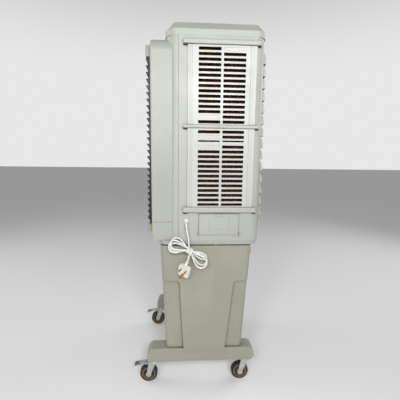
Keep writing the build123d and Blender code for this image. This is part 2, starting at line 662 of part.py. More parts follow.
def plug():
    """Three-pin mains plug with its cable boot, hanging askew."""
    start = Vector(*CORD_TAIL[-1])
    down = (start - Vector(*CORD_TAIL[-2])).normalized()
    boot = extrude(Plane(start, z_dir=down) * Circle(5.5), amount=20)
    entry = start + down * 20
    up = Vector(0.38, 0.12, 0.917).normalized()
    facing = Vector(0.811, -0.520, -0.268)
    pins = facing - up * up.dot(facing)
    place = Plane(entry - up * 22, x_dir=up, z_dir=pins).location
    body = Box(50, 48, 18)
    body = fillet(body.edges().filter_by(Axis.Z), 9)
    body = fillet(body.faces().sort_by(Axis.Z)[0].edges(), 4)
    body += Pos(-14, 0, 20.3) * Box(4, 8, 22.7)
    for offset in (-11.1, 11.1):
        body += Pos(8.2, offset, 17.85) * Box(6.4, 4, 17.7)
    return boot + place * body


# ---------------------------------------------------------------- write every piece
def write(name, shape):
    """Save one node, given as a solid or as a list of separate solids."""
    if isinstance(shape, list):
        shape = Compound(children=[part.solid() for part in shape])
    export_step(shape, f"parts/{name}.step")


def build():
    """Build and save all nodes."""
    os.makedirs("parts", exist_ok=True)
    pieces = [top_cover, upper_housing, deck, front_hood, back_grille, outlet_frame, outlet_blades,
              control_panel, vane_rails, vane_link, swing_motor, fan_ring, fan_rotor, motor_bracket, fan_motor,
              pad_shelves, water_spreader, riser_pipe, pump, tank, level_window, fill_door, float_valve,
              float_arm, drain_plug, side_rails, base_beams, caster_plates, cable_gland, cord_hank, plug]
    for piece in pieces:
        write(piece.__name__, piece())
    write("lower_outlet_bar", end_bar((LOWER_BAR_BOTTOM, OUTLET_Z[0])))
    write("pad_back", back_pad())
    for name, x in BUTTON_X.items():
        write(f"button_{name}", button(x))
    for index, x in enumerate(VANE_X, start=1):
        write(f"vane_{index}", vane(x))
    for name, side in SIDES.items():
        write(f"pad_{name}", side_pad(side))
        write(f"grille_{name}_upper", grille_panel(side, PANEL_UPPER_Z, 15, blank_right=(0,), blank_left=(13,)))
        write(f"grille_{name}_lower", grille_panel(side, PANEL_LOWER_Z, 16, blank_left=(1, 3), half_row=2))
        write(f"brake_pedal_{name}", brake_pedal(side))
        for station in CASTER_AXIS_Y:
            write(f"fork_{station}_{name}", caster_fork(side, station))
            write(f"wheel_{station}_{name}", caster_wheel(side, station))
    write("cord_lead", cord_tube(CORD_LEAD, "cord_lead"))
    write("cord_tail", cord_tube(CORD_TAIL, "cord_tail"))


build()
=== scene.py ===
import json
import math
import random

import bmesh
import bpy
from mathutils import Matrix, Vector

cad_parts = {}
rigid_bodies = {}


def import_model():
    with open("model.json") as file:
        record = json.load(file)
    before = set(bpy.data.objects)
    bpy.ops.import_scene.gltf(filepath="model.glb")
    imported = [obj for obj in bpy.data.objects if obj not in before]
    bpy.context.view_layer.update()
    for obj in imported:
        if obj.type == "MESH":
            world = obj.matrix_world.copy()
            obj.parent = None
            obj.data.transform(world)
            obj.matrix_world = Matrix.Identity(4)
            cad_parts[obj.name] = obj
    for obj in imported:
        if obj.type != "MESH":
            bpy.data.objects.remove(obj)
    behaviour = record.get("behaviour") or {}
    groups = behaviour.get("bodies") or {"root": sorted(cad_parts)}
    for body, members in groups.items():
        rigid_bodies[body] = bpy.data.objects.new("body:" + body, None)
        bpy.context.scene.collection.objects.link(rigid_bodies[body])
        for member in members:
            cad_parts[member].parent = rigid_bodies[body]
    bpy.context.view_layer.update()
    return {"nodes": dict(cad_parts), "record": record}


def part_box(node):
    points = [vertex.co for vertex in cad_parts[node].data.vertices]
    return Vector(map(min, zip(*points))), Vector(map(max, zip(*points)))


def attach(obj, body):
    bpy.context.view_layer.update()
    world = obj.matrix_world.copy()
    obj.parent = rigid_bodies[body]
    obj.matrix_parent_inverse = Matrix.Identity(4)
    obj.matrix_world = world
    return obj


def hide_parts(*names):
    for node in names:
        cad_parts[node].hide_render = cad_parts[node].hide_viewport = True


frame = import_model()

MM = 0.001
SIDES = {"right": 1, "left": -1}
STATIONS = ("front", "rear")
random.seed(7)

# Profiles are lists of (distance along the axis, radius) in millimetres. Those of a wheel's rings are
# one half, from the middle plane outwards, and symmetric() adds the other.
TYRE_BEAD_RADIUS = 30.0
TYRE_BORE = 29.4
TREAD_GROOVE = 0.7
CORE_HALF = [(12.4, 29.3), (12.8, 28.0), (12.4, 24.2), (11.0, 23.2), (8.5, 22.6), (8.0, 19.5)]
DARK_RING_HALF = [(9.8, 22.2), (10.8, 21.0), (10.8, 12.6)]
HUB_HALF = [(14.8, 12.0), (15.5, 11.2), (15.5, 4.2)]
BALL_RACE = [(92.4, 19.2), (98.3, 19.6), (98.3, 21.2), (96.4, 22.4), (93.4, 22.2), (92.4, 20.6)]
NUT_RADIUS = 6.2 * MM
NUT_DEPTH = 3.6 * MM
NUT_INSET = 2.4 * MM
NUT_TURN = 0.3

# Toe cap of the brake pedals.
TOE_RIBS = 5
TOE_RIB_PITCH = 4.4 * MM
TOE_RIB_WIDTH = 2.4 * MM
TOE_RIB_HALF_LENGTH = 12 * MM
TOE_START = 3 * MM
TOE_DROP = 6 * MM
TOE_SLOPE = 0.15
TOE_RIB_BELOW = 1 * MM
TOE_RIB_ABOVE = 1.6 * MM

# Wetted pads: corrugated sheets in the outer layer, plain block behind.
WAVE_PITCH = 12.0 * MM
WAVE_HEIGHT = 2.7 * MM
SHEET_SPACING = 6.0 * MM
SHEET_THICKNESS = 0.9 * MM
SHEET_DEPTH = 16 * MM
SHEET_SKEW = 0.7
COLUMN_WIDTH = 1.5 * MM

# Details on the sides of the cabinet (mm).
SIDE_FACE = 285
GRILLE_PROUD = 3.5
SCREW_Y = 90.5
SCREW_HEAD = [(0.0, 0.3), (0.0, 3.4), (0.8, 3.2), (1.3, 2.2), (1.4, 0.9), (0.6, 0.3)]
SCREW_SHARES = {"upper": (0.868, 0.795, 0.115), "lower": (0.90, 0.53, 0.09)}
RAIL_HEIGHTS = (1388, 1092, 770)
FOOT_X = (284.5, 291)
FOOT_BELOW = 4.5
FOOT_ABOVE = 3
FLAP_PROUD = 3.6
FLAP_Y = (9, 168)
FLAP_Z = (682, 764)
RELIEF_Y = (50, 132)
RELIEF_Z = (700, 749)

# The lead's route outside its folded turns, as the CAD has it (mm), and the plug that hangs from the
# tail's last run.
CORD_DIAMETER = 6.5 * MM
CORD_LEAD = [(292, -41, 736), (307, -41, 736), (309.5, -39.5, 719), (303, -36, 692), (297, -29.5, 664),
             (297, -29.5, 636)]
CORD_TAIL = [(306, -30, 600), (306, -30, 588), (305, -35.5, 575)]
TAIL_END = Vector(CORD_TAIL[-1])
TAIL_RUN = (TAIL_END - Vector(CORD_TAIL[-2])).normalized()
SLEEVE_LENGTH = 20
PLUG_UP = Vector((0.38, 0.12, 0.917)).normalized()
PLUG_TOP_TO_CENTRE = 22
PLUG_PINS = Vector((0.811, -0.520, -0.268))
PLUG_FACING = (PLUG_PINS - PLUG_UP * PLUG_UP.dot(PLUG_PINS)).normalized()
PLUG_CENTRE = (TAIL_END + TAIL_RUN * SLEEVE_LENGTH - PLUG_UP * PLUG_TOP_TO_CENTRE) * MM
PLUG_HALF_THICKNESS = 9 * MM

# The folded turns (mm): a bow with its knot in the middle, in layers one outside the other.
KNOT = Vector((297.5, -27, 619))
BOW_AXIS = Vector((0, 0.86, -0.51)).normalized()
BOW_UP = Vector((0, 0.51, 0.86)).normalized()
LAYER_STEP = 6.6
LOBE_START = 12
CROSSING_LIFT = 3.6
# Each turn: end of the left lobe (Y, Z) and its half width, then the same for the right lobe.
TURNS = [((-101, 634), 17, (40, 586), 12),
         ((-106, 641), 25, (37, 566), 19),
         ((-96, 660), 24, (34, 556), 22)]
# One side of a lobe: share of its length, share of its half width.
LOBE_SIDE = ((0.10, 0.30), (0.34, 0.66), (0.60, 0.98), (0.82, 0.98), (0.97, 0.62), (1.02, 0.0))

# The binding: a helix round the knot (mm).
WRAPS = 3
WRAP_STEPS = 10
WRAP_START = math.radians(60)
WRAP_GAP = 7.2
WRAP_HALF_WIDTH = 9.5


# ------------------------------------------------------------------ frame helpers
def limits(node):
    """Lowest and highest corner of a CAD node."""
    low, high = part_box(node)
    return Vector(low), Vector(high)


def joint(name):
    """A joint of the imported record."""
    return next(j for j in frame["record"]["behaviour"]["joints"] if j["name"] == name)


def body_holding(node):
    """The body that a CAD node rides on."""
    return next(b for b, nodes in frame["record"]["behaviour"]["bodies"].items() if node in nodes)


# ------------------------------------------------------------------ material helpers
class Shader:
    """Small wrapper round one procedural material."""

    def __init__(self, name, roughness=0.5, metallic=0.0):
        self.material = bpy.data.materials.new(name)
        self.material.use_nodes = True
        self.nodes = self.material.node_tree.nodes
        self.links = self.material.node_tree.links
        self.bsdf = self.nodes["Principled BSDF"]
        self.bsdf.inputs["Roughness"].default_value = roughness
        self.bsdf.inputs["Metallic"].default_value = metallic
        self.coords = self.nodes.new("ShaderNodeTexCoord").outputs["Object"]

    def join(self, output, socket):
        """Link an output to an input."""
        self.links.new(output, socket)

    def mapped(self, scale):
        """Object coordinates, stretched."""
        node = self.nodes.new("ShaderNodeMapping")
        node.inputs["Scale"].default_value = scale
        self.join(self.coords, node.inputs["Vector"])
        return node.outputs["Vector"]

    def noise(self, scale, detail=4.0, roughness=0.55, stretch=(1, 1, 1)):
        """Fractal noise in object space."""
        node = self.nodes.new("ShaderNodeTexNoise")
        node.inputs["Scale"].default_value = scale
        node.inputs["Detail"].default_value = detail
        node.inputs["Roughness"].default_value = roughness
        self.join(self.mapped(stretch), node.inputs["Vector"])
        return node.outputs["Fac"]

    def spots(self, scale, stretch=(1, 1, 1)):
        """Distance to scattered points."""
        node = self.nodes.new("ShaderNodeTexVoronoi")
        node.inputs["Scale"].default_value = scale
        self.join(self.mapped(stretch), node.inputs["Vector"])
        return node.outputs["Distance"]

    def step(self, value, low, high, out_low=0.0, out_high=1.0):
        """Smooth step of a value."""
        node = self.nodes.new("ShaderNodeMapRange")
        node.interpolation_type = "SMOOTHSTEP"
        levels = {"From Min": low, "From Max": high, "To Min": out_low, "To Max": out_high}
        for name, number in levels.items():
            node.inputs[name].default_value = number
        self.join(value, node.inputs["Value"])
        return node.outputs["Result"]

    def mix(self, factor, first, second):
        """Blend of two colours, each a triple or an output."""
        node = self.nodes.new("ShaderNodeMix")
        node.data_type = "RGBA"
        self.join(factor, node.inputs["Factor"])
        for value, socket in ((first, node.inputs[6]), (second, node.inputs[7])):
            if isinstance(value, (tuple, list)):
                socket.default_value = (*value, 1.0)
            else:
                self.join(value, socket)
        return node.outputs[2]

    def stain(self, tone, mask, strength, colour):
        """Lay a colour over a tone where the mask says, at part strength."""
        node = self.nodes.new("ShaderNodeMath")
        node.operation = "MULTIPLY"
        self.join(mask, node.inputs[0])
        node.inputs[1].default_value = strength
        return self.mix(node.outputs["Value"], tone, colour)

    def corners(self, distance, low=0.30, high=0.86):
        """One in tight corners, falling to zero in the open."""
        node = self.nodes.new("ShaderNodeAmbientOcclusion")
        node.samples = 4
        node.inputs["Distance"].default_value = distance
        return self.step(node.outputs["AO"], low, high, 1.0, 0.0)

    def bump(self, value, strength, distance, edge=0.0):
        """Surface relief, with optically rounded edges of a given radius."""
        node = self.nodes.new("ShaderNodeBump")
        node.inputs["Strength"].default_value = strength
        node.inputs["Distance"].default_value = distance
        self.join(value, node.inputs["Height"])
        if edge:
            bevel = self.nodes.new("ShaderNodeBevel")
            bevel.samples = 4
            bevel.inputs["Radius"].default_value = edge
            self.join(bevel.outputs["Normal"], node.inputs["Normal"])
        self.join(node.outputs["Normal"], self.bsdf.inputs["Normal"])

    def finish(self, colour, roughness=None):
        """Connect colour and, if given, roughness."""
        self.join(colour, self.bsdf.inputs["Base Color"])
        if roughness is not None:
            self.join(roughness, self.bsdf.inputs["Roughness"])
        return self.material


def linear(red, green, blue):
    """sRGB 0-255 values as linear light."""
    def one(value):
        value /= 255
        return value / 12.92 if value <= 0.04045 else ((value + 0.055) / 1.055) ** 2.4
    return (one(red), one(green), one(blue))


def scaled(colour, factor):
    """Colour made lighter or darker."""
    return tuple(min(1.0, channel * factor) for channel in colour)


def moulded(name, colour, roughness=0.42, grime_and_shade=(0.30, 0.27, 0.20), dirt_and_shade=0.5, edge=1.2 * MM, scuffs=0.0):
    """Moulded plastic: uneven tone, fine grain, painted shade in corners, streaks and optional scuffs."""
    shader = Shader(name, roughness)
    clouds = shader.step(shader.noise(3.2, detail=5.0), 0.35, 0.65)
    tone = shader.mix(clouds, scaled(colour, 0.95), scaled(colour, 1.04))
    streaks = shader.step(shader.noise(9.0, detail=6.0, roughness=0.6, stretch=(1, 1, 0.18)), 0.52, 0.78)
    tone = shader.stain(tone, streaks, 0.20 * dirt_and_shade, scaled(grime_and_shade, 1.6))
    blotches = shader.step(shader.noise(22.0, detail=7.0, roughness=0.65), 0.60, 0.80)
    tone = shader.stain(tone, blotches, 0.16 * dirt_and_shade, grime_and_shade)
    # Painted shade: the tone goes near black in tight corners, creases and under overhangs, more so where
    # dirt is high.
    tone = shader.stain(tone, shader.corners(16 * MM), 0.3 * dirt_and_shade + 0.62, scaled(grime_and_shade, 0.12))
    if scuffs:
        smears = shader.noise(120.0, detail=3.0, roughness=0.7, stretch=(1, 0.16, 1))
        tone = shader.stain(tone, shader.step(smears, 0.66, 0.74), scuffs, scaled(grime_and_shade, 0.6))
        specks = shader.step(shader.spots(26.0), 0.035, 0.06, 1.0, 0.0)
        tone = shader.stain(tone, specks, scuffs, (0.16, 0.09, 0.04))
    shader.bump(shader.noise(900.0, detail=2.0), 0.12, 0.3 * MM, edge)
    gloss = shader.step(shader.noise(14.0), 0.3, 0.7, roughness - 0.05, roughness + 0.09)
    return shader.finish(tone, gloss)


def metal(name, colour, roughness):
    """Plated or turned metal: drawn grain, dull patches and light rust."""
    shader = Shader(name, roughness, metallic=1.0)
    clouds = shader.step(shader.noise(60.0, detail=5.0), 0.35, 0.7)
    tone = shader.mix(clouds, scaled(colour, 0.82), colour)
    rust = shader.step(shader.noise(160.0, detail=5.0, roughness=0.7), 0.62, 0.74)
    tone = shader.stain(tone, rust, 0.35, (0.20, 0.13, 0.07))
    grain = shader.noise(500.0, detail=3.0, roughness=0.6, stretch=(1, 1, 0.1))
    shader.bump(grain, 0.2, 0.2 * MM, 0.5 * MM)
    gloss = shader.step(shader.noise(45.0), 0.3, 0.7, roughness - 0.08, roughness + 0.15)
    return shader.finish(tone, gloss)


def rubber(name, colour, roughness=0.7):
    """Rubber with a dusty bloom."""
    shader = Shader(name, roughness)
    dust = shader.step(shader.noise(90.0, detail=5.0, roughness=0.65), 0.45, 0.75)
    tone = shader.stain(colour, dust, 0.35, scaled(colour, 3.0))
    shader.bump(shader.noise(700.0, detail=3.0), 0.3, 0.2 * MM, 0.6 * MM)
    return shader.finish(tone)


def cellulose():
    """Brown corrugated paper: fibrous, pale mineral crust, with painted shade turning it black between
    the sheets.
    """
    shader = Shader("cellulose_paper", 0.9)
    fibres = shader.step(shader.noise(60.0, detail=6.0), 0.35, 0.7)
    tone = shader.mix(fibres, linear(70, 38, 18), linear(150, 82, 36))
    crust = shader.step(shader.noise(220.0, roughness=0.7), 0.62, 0.75)
    tone = shader.stain(tone, crust, 0.25, linear(190, 150, 110))
    # Painted shade: near black where the sheets crowd together and deep inside the pad.
    tone = shader.stain(tone, shader.corners(12 * MM, 0.30, 0.62), 0.98, (0.004, 0.003, 0.002))
    shader.bump(shader.noise(1500.0, detail=3.0), 0.4, 0.3 * MM)
    return shader.finish(tone)


def cord_sheath():
    """White PVC sheath with a faint soiling."""
    shader = Shader("cord_sheath", 0.34)
    soiling = shader.step(shader.noise(70.0, detail=5.0), 0.4, 0.75)
    tone = shader.mix(soiling, linear(222, 223, 218), linear(190, 187, 174))
    shader.bump(shader.noise(800.0, detail=2.0), 0.15, 0.2 * MM)
    return shader.finish(tone)


def plug_finish(name, body, pin):
    """Off-white moulded plug whose pins, past its front face, are dull brass."""
    shader = Shader(name, 0.34)
    reach = shader.nodes.new("ShaderNodeVectorMath")
    reach.operation = "DOT_PRODUCT"
    reach.inputs[1].default_value = PLUG_FACING
    shader.join(shader.coords, reach.inputs[0])
    face = PLUG_CENTRE.dot(PLUG_FACING) + PLUG_HALF_THICKNESS
    on_pin = shader.step(reach.outputs["Value"], face + 0.2 * MM, face + 0.7 * MM)
    clouds = shader.step(shader.noise(60.0, detail=5.0), 0.4, 0.75)
    tone = shader.mix(clouds, body, scaled(body, 0.84))
    # Painted shade: the plug darkens in tight corners, such as round its pins.
    tone = shader.stain(tone, shader.corners(6 * MM), 0.6, (0.10, 0.085, 0.06))
    tone = shader.mix(on_pin, tone, pin)
    shader.bump(shader.noise(700.0, detail=2.0), 0.12, 0.2 * MM, 0.8 * MM)
    shader.join(on_pin, shader.bsdf.inputs["Metallic"])
    return shader.finish(tone)


def clear_plastic():
    """Slightly tinted clear plastic of the water gauge."""
    shader = Shader("gauge_plastic", 0.12)
    shader.bsdf.inputs["Transmission Weight"].default_value = 0.85
    shader.bsdf.inputs["IOR"].default_value = 1.46
    tone = shader.mix(shader.noise(40.0), linear(198, 214, 220), linear(222, 232, 236))
    shader.bump(shader.noise(300.0), 0.1, 0.2 * MM, 0.6 * MM)
    return shader.finish(tone)


# Dark dust colour; moulded() also darkens it further for the painted shade in corners.
DARK_DUST_AND_SHADE = (0.10, 0.10, 0.09)
MATERIALS = {
    "shell_plastic": moulded("shell_plastic", linear(163, 165, 156), 0.40),
    # The hood's tone sits a little below the shell's as painted shade on the hood.
    "hood_plastic": moulded("hood_plastic", linear(157, 159, 152), 0.36, dirt_and_shade=0.55),
    # The tank's tone, darker and warmer than the shell's, is painted shade and warm bounce light on the
    # low part of the cabinet; its streaks, blotches and scuffs are real wear.
    "tank_plastic": moulded("tank_plastic", linear(145, 144, 131), 0.46, dirt_and_shade=0.7, edge=2.0 * MM,
                            scuffs=0.35),
    "grille_plastic": moulded("grille_plastic", linear(180, 181, 176), 0.36, dirt_and_shade=0.35, edge=0.8 * MM),
    "black_plastic": moulded("black_plastic", linear(15, 16, 17), 0.5, DARK_DUST_AND_SHADE, 0.4, 0.4 * MM),
    "button_plastic": moulded("button_plastic", linear(60, 62, 66), 0.25, (0.10, 0.10, 0.10), 0.3,
                              0.4 * MM),
    "fan_plastic": moulded("fan_plastic", linear(62, 64, 68), 0.42, DARK_DUST_AND_SHADE, 0.6, 0.8 * MM),
    "cellulose": cellulose(),
    "motor_steel": moulded("motor_steel", linear(48, 49, 52), 0.5, (0.10, 0.09, 0.08), 0.6, 0.6 * MM),
    "pump_plastic": moulded("pump_plastic", linear(40, 42, 46), 0.5, DARK_DUST_AND_SHADE, 0.6, 0.6 * MM),
    "white_pvc": moulded("white_pvc", linear(225, 226, 222), 0.4, dirt_and_shade=0.4, edge=0.6 * MM),
    "gauge_clear": clear_plastic(),
    "brass_fitting": metal("brass_fitting", linear(214, 170, 98), 0.3),
    "rubber_black": rubber("rubber_black", linear(34, 34, 36)),
    "zinc_steel": metal("zinc_steel", linear(206, 209, 206), 0.34),
    "tyre_rubber": rubber("tyre_rubber", linear(10, 24, 36), 0.55),
    "pedal_steel": metal("pedal_steel", linear(196, 202, 202), 0.36),
    "cord_pvc": cord_sheath(),
    "plug_plastic": plug_finish("plug_plastic", linear(222, 220, 209), linear(176, 142, 84)),
}
# Dark grey of the feet under the drip rails: painted shade.
RAIL_FOOT_SHADE = moulded("rail_foot_shade", linear(52, 52, 48), 0.8, (0.05, 0.05, 0.04), 0.2, 0.3 * MM)
WHEEL_CORE = moulded("wheel_core", linear(122, 88, 44), 0.45, (0.14, 0.10, 0.06), 0.6, 0.5 * MM)


def paint_frame():
    """Give every CAD node the procedural material of its slot."""
    for part in frame["record"]["subparts"]:
        mesh = frame["nodes"][part["node"]].data
        mesh.materials.clear()
        mesh.materials.append(MATERIALS[part["material_slot"]])


# ------------------------------------------------------------------ mesh helpers
def link(name, mesh, material, body):
    """Make an object of a mesh, dress it and let it ride on a body."""
    piece = bpy.data.objects.new(name, mesh)
    bpy.context.scene.collection.objects.link(piece)
    mesh.materials.append(material)
    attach(piece, body)
    return piece


def from_bmesh(name, bm, material, body, smooth=True):
    """Finish a bmesh as a piece."""
    bmesh.ops.recalc_face_normals(bm, faces=bm.faces)
    mesh = bpy.data.meshes.new(name)
    bm.to_mesh(mesh)
    bm.free()
    for polygon in mesh.polygons:
        polygon.use_smooth = smooth
    return link(name, mesh, material, body)


def sharpen(piece, angle=35):
    """Keep edges sharper than an angle crisp on a smooth mesh."""
    modifier = piece.modifiers.new("by_angle", "EDGE_SPLIT")
    modifier.split_angle = math.radians(angle)


def symmetric(half):
    """Closed profile of a ring from one half of it."""
    return half + [(-along, radius) for along, radius in reversed(half)]


def add_lathe(bm, profile, centre, axis, steps=64):
    """Turn a closed profile in millimetres round an axis."""
    axis = Vector(axis).normalized()
    side = axis.orthogonal().normalized()
    other = axis.cross(side)
    rings = []
    for index in range(steps):
        angle = 2 * math.pi * index / steps
        out = side * math.cos(angle) + other * math.sin(angle)
        places = [Vector(centre) + axis * (along * MM) + out * (radius * MM) for along, radius in profile]
        rings.append([bm.verts.new(place) for place in places])
    count = len(profile)
    for index in range(steps):
        here = rings[index]
        after = rings[(index + 1) % steps]
        for k in range(count):
            bm.faces.new((here[k], here[(k + 1) % count], after[(k + 1) % count], after[k]))


def add_block(bm, low, high, bevel=0.0):
    """Box between two corners, with rounded edges."""
    low = Vector(low)
    high = Vector(high)
    verts = bmesh.ops.create_cube(bm, size=1.0)["verts"]
    bmesh.ops.scale(bm, verts=verts, vec=high - low)
    bmesh.ops.translate(bm, verts=verts, vec=(low + high) / 2)
    if bevel:
        edges = list({edge for vert in verts for edge in vert.link_edges})
        bmesh.ops.bevel(bm, geom=edges, offset=bevel, segments=2, profile=0.5, affect="EDGES")


# ------------------------------------------------------------------ castors
def tyre_half(radius):
    """Half profile of a tyre: ribbed tread, rounded shoulder, bead and bore."""
    groove = radius - TREAD_GROOVE
    tread = [(5.0, radius), (5.3, groove), (5.9, groove), (6.2, radius), (9.0, radius)]
    shoulder = [(11.6, radius - 1.2), (13.0, radius - 3.2), (13.5, radius - 6.0)]
    return tread + shoulder + [(13.0, TYRE_BEAD_RADIUS), (12.2, TYRE_BORE)]


def wheel_pieces(side, station):
    """Rubber tyre, light brown core, dark ring and zinc hub with its bearing cap."""
    node = f"wheel_{station}_{side}"
    low, high = limits(node)
    centre = (low + high) / 2
    radius = (high.z - low.z) / 2 / MM

    def ring(name, half, material):
        bm = bmesh.new()
        add_lathe(bm, symmetric(half), centre, (1, 0, 0))
        piece = from_bmesh(f"{name}_{station}_{side}", bm, material, body_holding(node))
        sharpen(piece)
        return piece

    tyre = ring("tyre", tyre_half(radius), MATERIALS["tyre_rubber"])
    ring("wheel_core", CORE_HALF, WHEEL_CORE)
    ring("wheel_ring", DARK_RING_HALF, MATERIALS["rubber_black"])
    ring("wheel_hub", HUB_HALF, MATERIALS["zinc_steel"])
    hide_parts(node)


def caster_hardware(side, station):
    """Axle nuts and the pressed ring of the ball race."""
    fork = f"fork_{station}_{side}"
    body = body_holding(fork)
    zinc = MATERIALS["zinc_steel"]
    low, high = limits(fork)
    roll = Vector(joint(f"{station}_{side}_roll")["pos_m"])
    swivel = Vector(joint(f"{station}_{side}_swivel")["pos_m"])
    turn = Matrix.Rotation(math.radians(90), 4, "Y") @ Matrix.Rotation(NUT_TURN, 4, "Z")
    bm = bmesh.new()
    for end, way in ((low.x, -1), (high.x, 1)):
        hexagon = bmesh.ops.create_cone(bm, segments=6, radius1=NUT_RADIUS, radius2=NUT_RADIUS,
                                        depth=NUT_DEPTH, cap_ends=True)
        place = Matrix.Translation((end - way * NUT_INSET, roll.y, roll.z)) @ turn
        bmesh.ops.transform(bm, matrix=place, verts=hexagon["verts"])
    from_bmesh(f"axle_nuts_{station}_{side}", bm, zinc, body, smooth=False)
    bm = bmesh.new()
    add_lathe(bm, BALL_RACE, (swivel.x, swivel.y, 0), (0, 0, 1))
    from_bmesh(f"ball_race_{station}_{side}", bm, zinc, body)


def pedal_toe(side):
    """Dark ribbed toe cap on the brake pedal."""
    node = f"brake_pedal_{side}"
    low, high = limits(node)
    middle = (low.x + high.x) / 2
    pivot = Vector(joint(f"{side}_brake_press")["pos_m"])
    bm = bmesh.new()
    for index in range(TOE_RIBS):
        y = low.y + TOE_START + index * TOE_RIB_PITCH
        z = pivot.z - TOE_DROP + (y - low.y) * TOE_SLOPE
        start = (middle - TOE_RIB_HALF_LENGTH, y, z - TOE_RIB_BELOW)
        end = (middle + TOE_RIB_HALF_LENGTH, y + TOE_RIB_WIDTH, z + TOE_RIB_ABOVE)
        add_block(bm, start, end, bevel=0.5 * MM)
    from_bmesh(f"pedal_toe_{side}", bm, MATERIALS["rubber_black"], body_holding(node),
               smooth=False)


# ------------------------------------------------------------------ pads
def corrugated_pad(node, across, depth_axis, face, inward):
    """Stack of corrugated sheets whose wavy edges show at the pad's outer face."""
    low, high = limits(node)
    columns = int((high[across] - low[across]) / COLUMN_WIDTH)
    bm = bmesh.new()

    def corrugated_sheet(z, skew, phase):
        top = []
        bottom = []
        for column in range(columns + 1):
            along = low[across] + (high[across] - low[across]) * column / columns
            rows = []
            for step in range(3):
                inside = SHEET_DEPTH * step / 2
                wave = WAVE_HEIGHT * math.sin(2 * math.pi * (along + skew * inside) / WAVE_PITCH + phase)
                point = Vector((0, 0, z + wave))
                point[across] = along
                point[depth_axis] = face + inward * inside
                rows.append(point)
            top.append([bm.verts.new(p) for p in rows])
            bottom.append([bm.verts.new(p - Vector((0, 0, SHEET_THICKNESS))) for p in rows])
        for column in range(columns):
            following = column + 1
            for step in range(2):
                for grid in (top, bottom):
                    bm.faces.new((grid[column][step], grid[following][step], grid[following][step + 1],
                                  grid[column][step + 1]))
            for step in (0, 2):
                bm.faces.new((top[column][step], top[following][step], bottom[following][step],
                              bottom[column][step]))
        for column in (0, columns):
            for step in range(2):
                bm.faces.new((top[column][step], top[column][step + 1], bottom[column][step + 1],
                              bottom[column][step]))

    skew = -SHEET_SKEW
    z = low.z + WAVE_HEIGHT + SHEET_THICKNESS
    while z < high.z - WAVE_HEIGHT - SHEET_THICKNESS:
        corrugated_sheet(z, skew, random.uniform(-0.6, 0.6))
        skew = -skew
        z += SHEET_SPACING
    block_low = low.copy()
    block_high = high.copy()
    inner_edge = block_high if inward < 0 else block_low
    inner_edge[depth_axis] = face + inward * SHEET_DEPTH
    add_block(bm, block_low, block_high)
    piece = from_bmesh(f"{node}_sheets", bm, MATERIALS["cellulose"], body_holding(node),
                       smooth=False)
    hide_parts(node)


# ------------------------------------------------------------------ side details
def grille_screws(side, sign):
    """Round-headed screws on the bar between the slot columns."""
    face = sign * (SIDE_FACE + GRILLE_PROUD) * MM
    for level, shares in SCREW_SHARES.items():
        node = f"grille_{side}_{level}"
        low, high = limits(node)
        bm = bmesh.new()
        for share in shares:
            z = low.z + (high.z - low.z) * share
            add_lathe(bm, SCREW_HEAD, (face, SCREW_Y * MM, z), (sign, 0, 0), steps=20)
        from_bmesh(f"screws_{side}_{level}", bm, MATERIALS["zinc_steel"], body_holding(node))


def shaded_rail_feet(side, sign):
    """Feet under the ends of each drip rail, dark grey as painted shade."""
    low, high = limits("side_rails")
    start_x, end_x = sorted(sign * x * MM for x in FOOT_X)
    bm = bmesh.new()
    for z in RAIL_HEIGHTS:
        for start, end in ((low.y + 1 * MM, low.y + 17 * MM), (high.y - 14 * MM, high.y - 1 * MM)):
            bottom = (z - FOOT_BELOW) * MM
            top = (z + FOOT_ABOVE) * MM
            add_block(bm, (start_x, start, bottom), (end_x, end, top), bevel=1 * MM)
    from_bmesh(f"shaded_rail_feet_{side}", bm, RAIL_FOOT_SHADE, "cabinet", smooth=False)


def flap_relief():
    """Raised rim and generic square relief on the filling flap."""
    face = (SIDE_FACE + FLAP_PROUD) * MM
    bm = bmesh.new()

    def raised_frame(y0, y1, z0, z1, width, proud):
        for a, b, c, d in ((y0, y1, z0, z0 + width), (y0, y1, z1 - width, z1), (y0, y0 + width, z0, z1),
                           (y1 - width, y1, z0, z1)):
            add_block(bm, (face - 0.5 * MM, a, c), (face + proud, b, d), bevel=0.4 * MM)

    y0, y1 = (y * MM for y in FLAP_Y)
    z0, z1 = (z * MM for z in FLAP_Z)
    raised_frame(y0 + 1 * MM, y1 - 1 * MM, z0, z1 - 1 * MM, 2.5 * MM, 0.7 * MM)
    y0, y1 = (y * MM for y in RELIEF_Y)
    z0, z1 = (z * MM for z in RELIEF_Z)
    raised_frame(y0, y1, z0, z1, 1.6 * MM, 0.5 * MM)
    from_bmesh("flap_relief", bm, MATERIALS["shell_plastic"], "fill_door", smooth=False)


# ------------------------------------------------------------------ mains lead
def lobe(end, half_width, depth):
    """Points round one drop-shaped loop, out along one side and back along the other."""
    root = KNOT + BOW_AXIS * (LOBE_START if end[0] > KNOT.y else -LOBE_START)
    tip = Vector((root.x, end[0], end[1]))
    axis = (tip - root).normalized()
    across = Vector((0, -axis.z, axis.y))
    length = (tip - root).length
    way_back = [(share, -wide) for share, wide in reversed(LOBE_SIDE[:-1])]
    made = []
    for share, wide in [*LOBE_SIDE, *way_back]:
        point = root + axis * (length * share) + across * (half_width * wide)
        point.x = KNOT.x + depth
        made.append(point)
    return made


